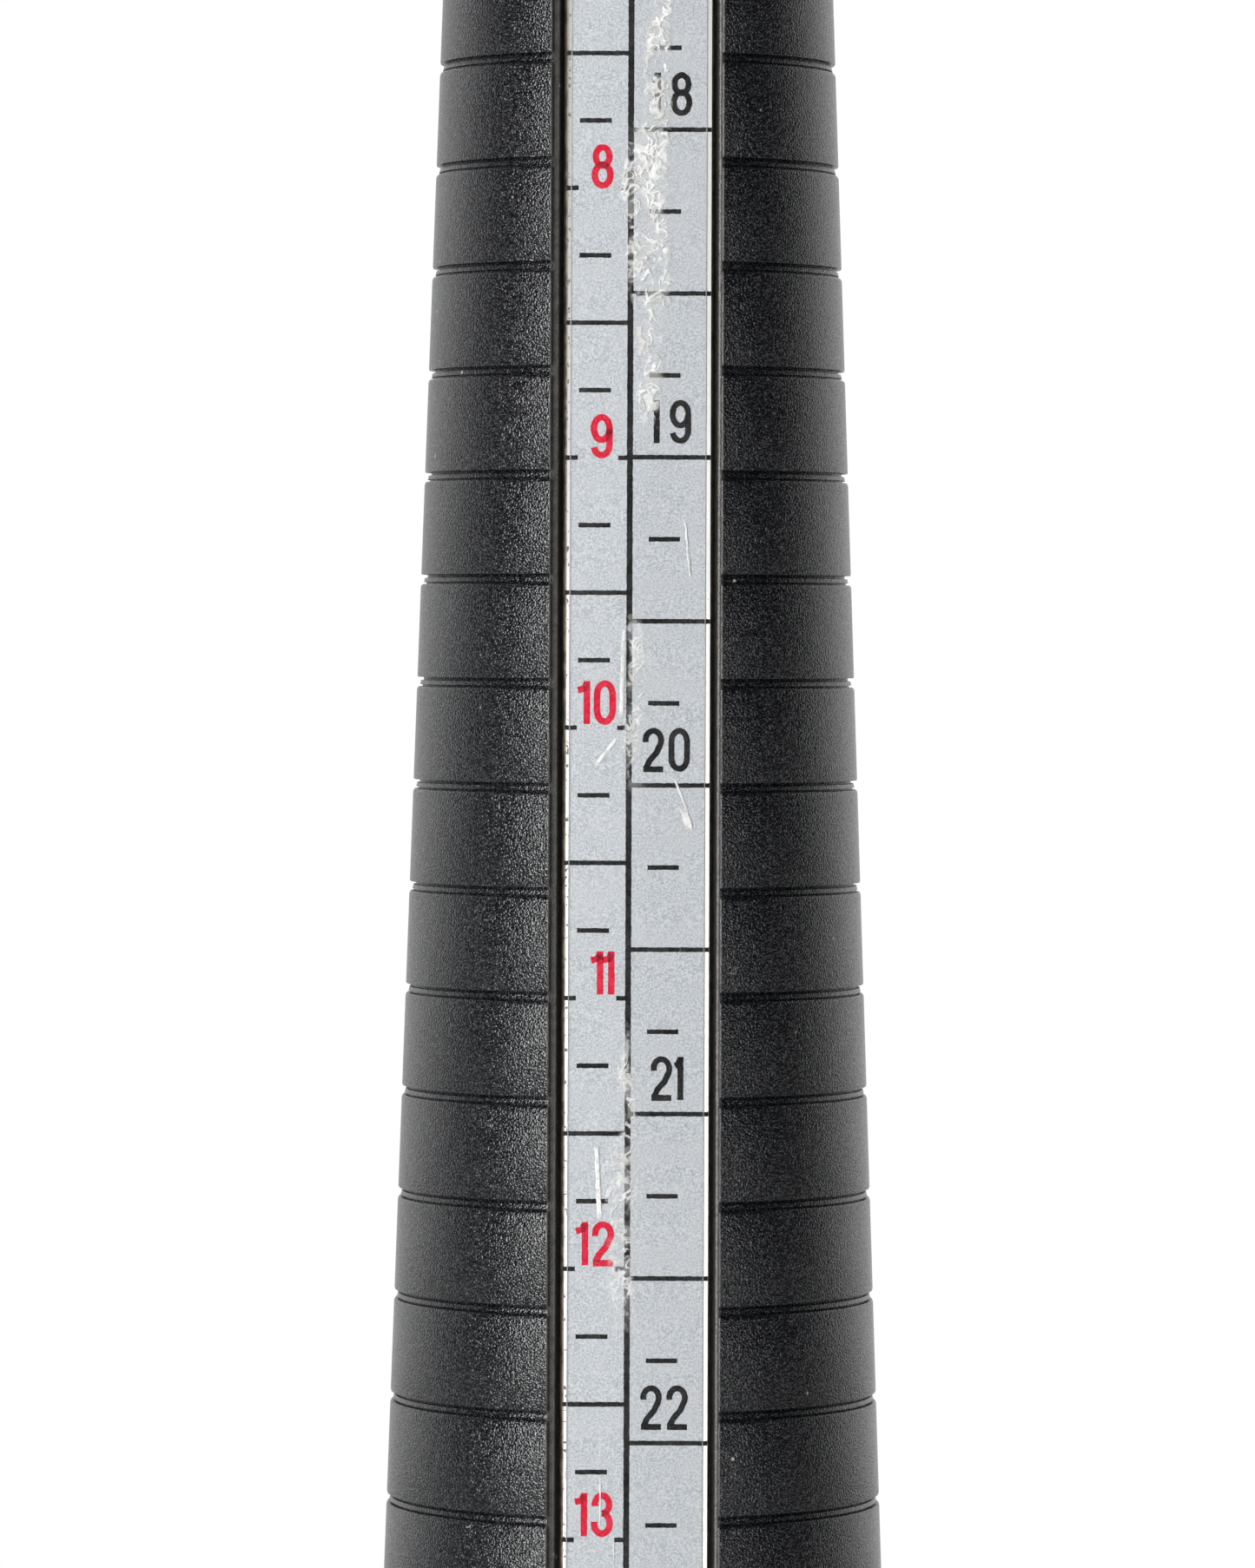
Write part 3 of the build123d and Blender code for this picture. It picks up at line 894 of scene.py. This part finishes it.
def slot_mask(m):
    """1 in the narrow slots along the sides of the gauge's grooves."""
    spread = m.calc("SQRT", m.plus(m.times(m.x, m.x), m.times(m.y, m.y)))
    slope = -0.5 / LENGTH_PER_DIAMETER
    surface = m.calc("MULTIPLY_ADD", m.z, slope, (gauge_radius(SHOULDER_Z) - slope * SHOULDER_Z) * MM)
    sunk = m.remap(m.minus(surface, spread), SLOT_DEPTHS[0] * MM, SLOT_DEPTHS[1] * MM)
    on_bands = m.remap(m.calc("ABSOLUTE", m.x), CHANNEL_HALF_WIDTH * MM, (CHANNEL_HALF_WIDTH + 0.02) * MM)
    at_side = m.near(m.y, 0.0, BAND_SIDE * MM, 0.1 * MM)
    return m.times(sunk, m.larger(on_bands, at_side))


def channel_mask(m):
    """1 in the gauge's smooth channels, out to the burrs at the ends of the bands."""
    edge = CHANNEL_HALF_WIDTH + BAND_END[2][0]
    inside = m.remap(m.calc("ABSOLUTE", m.x), edge * MM, (edge + 0.04) * MM, 1.0, 0.0)
    middle, half = (NOSE_Z + CHANNEL_LOW) / 2, (NOSE_Z - CHANNEL_LOW) / 2
    return m.times(inside, m.near(m.z, middle * MM, half * MM, 0.05 * MM))


GAUGE_TONES = (srgb(10, 11, 13), srgb(46, 48, 52))
GRIP_TONES = (srgb(11, 12, 14), srgb(46, 48, 51))
LOOSE_DUST = srgb(150, 146, 138)
CHANNEL_DUST = srgb(64, 62, 59)
CHANNEL_GRAIN = 0.35  # share of the grain left in the smooth channels
DUST_ROUGHNESS = 0.15  # added roughness of dust
# Painted shade: the grooves' deep slots keep only this share of their shine, so they read as dark as a shaded
# recess.
SLOT_SHINE = 0.15  # share of the shine left in the grooves' slots
GRAIN_RELIEF = 0.000041  # metres


def plastic_material(name, tones, grain, dust, is_gauge=False):
    """Moulded black plastic with a spark-eroded grain, faint mottling, dust and lint."""
    m = Surface(name)
    fine = m.noise(grain, 0.5, 0.5)
    channel = channel_mask(m) if is_gauge else 0.0
    grained = m.remap(channel, 0.0, 1.0, 1.0, CHANNEL_GRAIN)
    fine = m.calc("MULTIPLY_ADD", m.minus(fine, 0.5), grained, 0.5)
    broad = m.noise(300, 2.0, 0.5)
    colour = m.blend(m.remap(fine, 0.48, 0.72), *tones)
    dusty = m.remap(m.noise(2200, 3.0, 0.6), 0.35, 0.65, 0.5, 1.0)
    colour = m.blend(m.times(channel, dusty), colour, CHANNEL_DUST)
    speck_cells = m.cells(900)
    kept = m.remap(m.add("ShaderNodeSeparateColor", {0: speck_cells.outputs["Color"]}).outputs[0], 0.83, 0.84)
    speck = m.times(m.remap(speck_cells.outputs["Distance"], 0.05, 0.10, 1.0, 0.0), kept)
    thread = m.calc("ABSOLUTE", m.minus(m.noise(1500, 1.0, 0.5, 1.6), 0.5))
    lint_area = m.remap(m.noise(900, 1.0), 0.765, 0.78)
    lint = m.times(m.remap(thread, 0.004, 0.012, 1.0, 0.0), lint_area)
    dirt = m.times(m.larger(speck, lint), dust)
    colour = m.blend(dirt, colour, LOOSE_DUST)
    roughness = m.remap(broad, 0.3, 0.7, 0.18, 0.21, smooth=False)
    roughness = m.plus(roughness, m.times(m.larger(dirt, channel), DUST_ROUGHNESS))
    relief = m.bump(fine, GRAIN_RELIEF)
    shine = m.remap(fine, 0.35, 0.65, 0.30, 0.66)
    if is_gauge:
        # Painted shade: shine is cut down in the grooves' slots so that they read darker, as shade in a
        # recess would.
        shine = m.times(shine, m.remap(slot_mask(m), 0.0, 1.0, 1.0, SLOT_SHINE))
    m.set(Base_Color=colour, Roughness=roughness, Normal=relief, Specular_IOR_Level=shine, IOR=1.5)
    return m.material


# Tones of the strip; a pair is the two ends of a mottled one
SATIN_METAL = (srgb(146, 150, 154), srgb(192, 196, 200))
CLOUDED_METAL = srgb(180, 182, 184)
# Bevel tones: the cut metal's own pale tone with a painted reflection of the white backdrop laid into it
BEVEL_METAL_AND_PAINTED_GLINT = (srgb(222, 223, 222), srgb(246, 246, 244))
# Dull grey that the bevel is darkened to, most on the left side
DULL_BEVEL_GREY = srgb(128, 128, 125)
THICK_DIRT = srgb(74, 66, 58)
CRUST = (srgb(62, 50, 40), srgb(116, 104, 90))
OLD_GLUE = (srgb(38, 31, 25), srgb(84, 74, 62))


def strip_material():
    """Satin silver strip with a fine sparkle, a bevel of cut metal painted near-white as a reflection of the
    white backdrop, painted shade that darkens it a little towards +X, and brownish dirt low on its sides.
    """
    m = Surface("satin_silver")
    speckle = m.noise(12000, 2.0, 0.7)
    cloud = m.noise(700, 3.0)
    colour = m.blend(m.remap(speckle, 0.3, 0.7), *SATIN_METAL)
    colour = m.blend(m.remap(cloud, 0.35, 0.7, 0.0, 0.3), colour, CLOUDED_METAL)
    # Painted shade: the strip's colour is darkened by up to 7% towards +X, standing in for a slight bow that
    # turns that side away from the lights.
    colour = m.blend(m.remap(m.across, -1.5 * MM, 1.0 * MM), colour, m.blend(0.07, colour, srgb(0, 0, 0)))
    across = m.calc("ABSOLUTE", m.across)
    bevel = m.remap(across, (STRIP_FLAT + 0.005) * MM, (STRIP_FLAT + 0.02) * MM)
    # Painted reflection: the bevel is coloured near-white to stand for the white backdrop that its slope
    # reflects, over the cut metal's own paler tone.
    cut = m.noise(2500, 2.0, 0.5, 0.0, m.stretched(1.0, 1.0, 0.08))
    colour = m.blend(bevel, colour, m.blend(cut, *BEVEL_METAL_AND_PAINTED_GLINT))
    # The bevel is darkened to a dull grey, with dark specks and a brownish crust on its outer part. The
    # darkening is strongest on the left side, falls to a quarter of that on the right, and grows towards the
    # top.
    left = m.remap(m.across, -1.0 * MM, 1.0 * MM, 1.0, 0.25)
    grime = m.remap(m.noise(1800, 3.0, 0.6), 0.35, 0.65)
    spots = m.remap(m.noise(4200, 2.0, 0.6), 0.56, 0.64)
    outer = m.remap(across, (STRIP_FLAT + 0.08) * MM, (STRIP_FLAT + 0.14) * MM)
    wiped = m.remap(m.z, 155 * MM, 200 * MM, 0.45, 0.92)
    bevel_darkening = m.times(m.larger(m.larger(wiped, outer), spots), left)
    bevel_dark_tones = m.blend(m.times(spots, left), DULL_BEVEL_GREY, THICK_DIRT)
    bevel_dark_tones = m.blend(m.times(outer, left), bevel_dark_tones, m.blend(grime, *CRUST))
    colour = m.blend(m.times(bevel, bevel_darkening), colour, bevel_dark_tones)
    side = m.remap(across, (SCALE_HALF_WIDTH - 0.004) * MM, (SCALE_HALF_WIDTH + 0.012) * MM)
    colour = m.blend(side, colour, m.blend(grime, *OLD_GLUE))
    bare = m.minus(1.0, m.larger(side, m.times(bevel, bevel_darkening)))
    metal = m.times(bare, m.remap(bevel, 0.0, 1.0, 0.30, 0.55))
    roughness = m.remap(speckle, 0.2, 0.8, 0.50, 0.62)
    roughness = m.minus(roughness, m.times(m.times(bevel, bare), 0.30))
    relief = m.bump(speckle, 0.000004)
    m.set(Base_Color=colour, Metallic=metal, Roughness=roughness, Normal=relief)
    return m.material


def ink_material(name, colour, faded):
    """Screen-printed ink, uneven in its cover."""
    m = Surface(name)
    patchy = m.remap(m.noise(3200, 3.0, 0.6), 0.35, 0.75)
    shade = m.blend(patchy, colour, faded)
    relief = m.bump(m.noise(9000, 2.0), 0.000004)
    on_bevel = m.remap(m.calc("ABSOLUTE", m.across), STRIP_FLAT * MM, (STRIP_FLAT + 0.02) * MM, 0.0, 0.45)
    roughness = m.plus(m.remap(patchy, 0.0, 1.0, 0.26, 0.34), on_bevel)
    m.set(Base_Color=shade, Roughness=roughness, Normal=relief, Specular_IOR_Level=0.3)
    return m.material


# Scuffed patches of the front film: middle x and z, half width, half height, softness and strength
SCUFF_PATCHES = (
    (0.90, 201.5, 0.42, 5.5, 0.3, 0.9),
    (0.52, 192.8, 0.55, 3.0, 0.4, 0.9),
    (0.40, 187.4, 0.34, 2.2, 0.4, 0.85),
    (-0.30, 193.0, 0.12, 1.5, 0.2, 0.7),
    (-0.10, 171.5, 0.22, 2.0, 0.3, 0.6),
    (-0.60, 148.5, 0.30, 3.0, 0.5, 0.5),
    (-0.38, 150.5, 0.12, 4.5, 0.2, 0.75),
    (0.50, 226.0, 0.60, 9.0, 0.8, 0.6),
    (-0.95, 124.0, 0.30, 5.0, 0.6, 0.5),
)
REAR_PATCHES = SCUFF_PATCHES[6:]  # the last three, in the same places

# Single marks on the front film: middle x and z, half width, half height, lean of x per z, and strength
SCRATCHES = (
    (2.20, 178.1, 0.030, 1.1, -0.09, 0.90),
    (1.97, 167.2, 0.035, 0.6, -0.40, 0.60),
    (2.20, 166.2, 0.140, 0.3, -0.30, 0.90),
    (-0.65, 172.7, 0.060, 1.7, 0.03, 0.70),
    (-1.33, 169.2, 0.080, 0.4, 0.75, 0.75),
    (-1.66, 150.2, 0.080, 1.4, -0.05, 0.90),
)


RUBBED_FILM = (srgb(226, 225, 221), srgb(250, 250, 248))
FILM_RIM = srgb(150, 146, 142)
# How much of the print a full mark and the film's rim hide
MARK_COVER = 0.68
RIM_COVER = 0.45


def film_material(name, patches, scratches):
    """Clear film: faint gloss, fine scratches, and whitish ridges where it has been rubbed."""
    m = Surface(name)
    wander = m.times(m.minus(m.noise(420, 2.0), 0.5), 1.3 * MM)
    scuffed = None
    for middle_x, middle_z, half_x, half_z, softness, strength in patches:
        wide = m.near(m.plus(m.across, wander), middle_x * MM, half_x * MM, softness * MM)
        tall = m.near(m.plus(m.z, wander), middle_z * MM, half_z * MM, 2.5 * MM)
        patch = m.times(m.times(wide, tall), strength)
        scuffed = m.larger(scuffed, patch) if scuffed else patch
    ridge = m.calc("ABSOLUTE", m.minus(m.noise(1500, 1.0, 0.5, 0.9), 0.5))
    worms = m.remap(ridge, 0.02, 0.085, 1.0, 0.0)
    clumps = m.remap(m.noise(1000, 2.0, 0.6), 0.36, 0.54)
    chips = m.remap(m.noise(2400, 1.0, 0.5, 0.6), 0.62, 0.70)
    marks = m.larger(m.times(worms, clumps), chips)
    haze = m.times(clumps, 0.24)
    white = m.times(scuffed, m.larger(marks, haze))
    streaks = m.noise(1.0, 2.0, 0.5, 0.0, m.stretched(5200.0, 1.0, 130.0))
    scratch_area = m.remap(m.noise(160, 1.0), 0.5, 0.64)
    scratch = m.times(m.remap(streaks, 0.70, 0.74), scratch_area)
    white = m.larger(white, m.times(scratch, 0.55))
    ragged = m.times(m.minus(m.noise(3000, 2.0, 0.6), 0.5), 0.14 * MM)
    uneven = m.remap(m.noise(2200, 2.0, 0.6), 0.35, 0.60, 0.45, 1.0)
    for middle_x, middle_z, half_x, half_z, lean, strength in scratches:
        slid = m.plus(m.calc("MULTIPLY_ADD", m.z, -lean, m.across), ragged)
        narrow = m.near(slid, (middle_x - lean * middle_z) * MM, half_x * MM, 0.04 * MM)
        short = m.near(m.plus(m.z, ragged), middle_z * MM, half_z * MM, 0.3 * MM)
        mark = m.times(m.times(narrow, short), uneven)
        white = m.larger(white, m.times(mark, strength))
    rim = m.remap(m.calc("ABSOLUTE", m.across), (STRIP_FLAT - 0.06) * MM, (STRIP_FLAT - 0.02) * MM)
    tone = m.blend(m.remap(m.noise(1300, 2.0), 0.35, 0.65), *RUBBED_FILM)
    colour = m.blend(rim, tone, FILM_RIM)
    clear = m.remap(m.noise(900, 2.0), 0.3, 0.7, 0.005, 0.012)
    marked = m.larger(m.times(white, MARK_COVER), m.times(rim, RIM_COVER))
    roughness = m.remap(m.larger(white, rim), 0.0, 1.0, 0.10, 0.5)
    relief = m.bump(white, 0.00004)
    m.set(Base_Color=colour, Alpha=m.larger(clear, marked), Roughness=roughness, Normal=relief)
    return m.material


def machined_material(name, dark, light, rough):
    """Turned metal with fine rings round the axis and faint stains."""
    m = Surface(name)
    rings = m.noise(1.0, 2.0, 0.5, 0.0, m.stretched(300.0, 300.0, 9000.0))
    stain = m.noise(500, 3.0, 0.6)
    colour = m.blend(m.remap(stain, 0.3, 0.7), dark, light)
    roughness = m.remap(rings, 0.3, 0.7, rough - 0.06, rough + 0.08)
    m.set(Base_Color=colour, Metallic=1.0, Roughness=roughness, Normal=m.bump(rings, 0.000006))
    return m.material


def floor_material():
    """Pale matt studio floor that fades out towards its rim."""
    m = Surface("studio_floor")
    cloud = m.noise(9, 3.0)
    colour = m.blend(m.remap(cloud, 0.3, 0.7), srgb(228, 228, 227), srgb(236, 236, 235))
    spread = m.calc("SQRT", m.plus(m.times(m.x, m.x), m.times(m.y, m.y)))
    alpha = m.remap(spread, FLOOR_FADE, FLOOR_RADIUS, 1.0, 0.0)
    relief = m.bump(m.noise(900, 2.0), 0.00005)
    m.set(Base_Color=colour, Roughness=m.remap(cloud, 0.3, 0.7, 0.6, 0.75), Alpha=alpha, Normal=relief)
    return m.material


# Studio: floor, world, softboxes and camera. The floor's sizes and the distances are in metres.

FLOOR_RADIUS = 1.05
FLOOR_FADE = 0.35
FLOOR_RINGS = 10
FLOOR_GAP = 0.0002
FLOOR_SEGMENTS = 96
FLOOR_ANGLES = [2 * math.pi * k / FLOOR_SEGMENTS for k in range(FLOOR_SEGMENTS)]
SOFTBOX_SIDE = 0.42
SOFTBOX_DISTANCE = 1.1
# Azimuth from the front towards +X and height, in degrees, and power in watts
SOFTBOXES = ((-35.0, 2.0, 9.5), (-30.0, 26.0, 6.0), (33.0, -6.0, 2.6))
GAUGE_MIDDLE = Vector((0.0, 0.0, 0.19))


def build_floor():
    """A disc of pale floor under the foot."""
    rings = [FLOOR_RADIUS * k / FLOOR_RINGS for k in range(FLOOR_RINGS + 1)]
    rows = [[(r * math.cos(a), r * math.sin(a), 0.0) for a in FLOOR_ANGLES] for r in rings]
    vertices, faces = closed_grid(rows)
    mesh = bpy.data.meshes.new("studio_floor")
    mesh.from_pydata(vertices, [], faces[: -len(FLOOR_ANGLES)])
    mesh.materials.append(floor_material())
    floor = place_object("studio_floor", mesh)
    floor.location.z = CAD_LOW.z - FLOOR_GAP


# Share of the way from the camera's side (0) to behind the object (1), and the light from there
WORLD_STOPS = ((0.0, 0.02), (0.44, 0.03), (0.57, 0.25), (0.72, 1.1), (0.9, 1.15), (0.995, 0.75))
WORLD_TURN = -0.07  # the white sheet stands this much round to the left, in radians
# The white sheet behind is full up to the first height (as the sine of its angle) and fades by the second.
WORLD_LEVEL = 0.45
WORLD_STEEP = 0.8
WORLD_ABOVE = 0.25


def build_world():
    """White to the camera; light comes from behind and beside, and the camera's side is dark."""
    world = bpy.data.worlds.new("studio")
    world.use_nodes = True
    w = Nodes(world.node_tree)
    place = w.add("ShaderNodeTexCoord").outputs["Generated"]
    turn = w.add("ShaderNodeMapping", {"Vector": place, "Rotation": (0.0, 0.0, WORLD_TURN)})
    axes = w.add("ShaderNodeSeparateXYZ", {0: turn.outputs[0]}).outputs
    ramp = w.add("ShaderNodeValToRGB", {0: w.remap(axes["Y"], -1.0, 1.0, smooth=False)})
    stops = ramp.color_ramp.elements
    for position, level in WORLD_STOPS:
        stop = stops[0] if position == 0.0 else stops.new(position)
        stop.position = position
        stop.color = (level, level, level, 1.0)
    stops.remove(stops[-1])
    steepness = w.calc("ABSOLUTE", axes["Z"])
    fade = w.remap(steepness, WORLD_LEVEL, WORLD_STEEP, 1.0, WORLD_ABOVE, smooth=False)
    lit = w.add("ShaderNodeBackground", {"Color": ramp.outputs[0], "Strength": fade})
    seen = w.add("ShaderNodeBackground", {"Color": (1.0, 1.0, 1.0, 1.0)})
    direct = w.add("ShaderNodeLightPath").outputs["Is Camera Ray"]
    mix = w.add("ShaderNodeMixShader", {0: direct, 1: lit.outputs[0], 2: seen.outputs[0]})
    w.add("ShaderNodeOutputWorld", {"Surface": mix.outputs[0]})
    bpy.context.scene.world = world


def build_softboxes():
    """Three square softboxes aimed at the gauge, hidden from the camera."""
    for index, (azimuth, height, power) in enumerate(SOFTBOXES):
        a, h = math.radians(azimuth), math.radians(height)
        way = Vector((math.sin(a) * math.cos(h), -math.cos(a) * math.cos(h), math.sin(h)))
        light = bpy.data.lights.new(f"softbox_{index}", "AREA")
        light.shape = "SQUARE"
        light.size = SOFTBOX_SIDE
        light.energy = power
        lamp = place_object(light.name, light)
        lamp.location = GAUGE_MIDDLE + way * SOFTBOX_DISTANCE
        lamp.rotation_euler = way.to_track_quat("Z", "Y").to_euler()
        lamp.visible_camera = False


# Place and lens in millimetres, angles in radians
CAMERA_PLACE = Vector((0.425, -359.473, 174.49))
CAMERA_YAW = -0.00217
CAMERA_PITCH = -0.01925
CAMERA_ROLL = 0.00349
CAMERA_LENS = 182.59
CAMERA_NEAR = 0.01  # metres


def build_camera():
    """A long lens, about level with the middle of the gauge."""
    yaw, pitch = CAMERA_YAW, CAMERA_PITCH
    forward = Vector((math.sin(yaw) * math.cos(pitch), math.cos(yaw) * math.cos(pitch), math.sin(pitch)))
    level = Vector((math.cos(yaw), -math.sin(yaw), 0.0))
    upright = level.cross(forward)
    right = level * math.cos(CAMERA_ROLL) + upright * math.sin(CAMERA_ROLL)
    up = upright * math.cos(CAMERA_ROLL) - level * math.sin(CAMERA_ROLL)
    data = bpy.data.cameras.new("camera")
    data.lens = CAMERA_LENS
    data.clip_start = CAMERA_NEAR
    camera = place_object("camera", data)
    camera.matrix_world = Matrix((right, up, -forward)).transposed().to_4x4()
    camera.matrix_world.translation = CAMERA_PLACE * MM
    bpy.context.scene.camera = camera


def dress_cad_nodes(plastic, brass, steel):
    """Materials for the inner pieces, which keep their CAD shapes."""
    looks = {"coupling_plug": plastic, "threaded_insert": brass, "handle_screw": steel, "screw_washer": steel}
    for node, material in looks.items():
        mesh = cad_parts[node].data
        mesh.materials.clear()
        mesh.materials.append(material)


def build_all():
    """The whole mandrel and its studio."""
    gauge_black = plastic_material("gauge_black", GAUGE_TONES, grain=12000, dust=1.0, is_gauge=True)
    grip_black = plastic_material("grip_black", GRIP_TONES, grain=10000, dust=0.6)
    silver = strip_material()
    black_ink = ink_material("black_ink", srgb(7, 7, 9), srgb(20, 19, 20))
    red_ink = ink_material("red_ink", srgb(188, 8, 42), srgb(198, 26, 60))
    front_film = film_material("scuffed_film", SCUFF_PATCHES, SCRATCHES)
    rear_film = film_material("worn_film", REAR_PATCHES, ())
    build_cone(gauge_black)
    build_tip_plug(gauge_black)
    build_handle(grip_black)
    build_end_cap(grip_black)
    build_strip(FRONT, "front_scale", "front_scale_strip", silver)
    build_strip(REAR, "rear_scale", "rear_scale_strip", silver)
    build_front_print(black_ink, red_ink)
    build_rear_print(black_ink, red_ink)
    build_film(FRONT, "front_film", "front_cover_film", front_film)
    build_film(REAR, "rear_film", "rear_cover_film", rear_film)
    brass = machined_material("turned_brass", srgb(176, 138, 66), srgb(214, 178, 96), 0.3)
    steel = machined_material("zinc_steel", srgb(168, 168, 164), srgb(206, 206, 200), 0.34)
    dress_cad_nodes(grip_black, brass, steel)
    build_floor()
    build_world()
    build_softboxes()
    build_camera()
    bpy.context.scene.view_settings.view_transform = "Standard"


build_all()
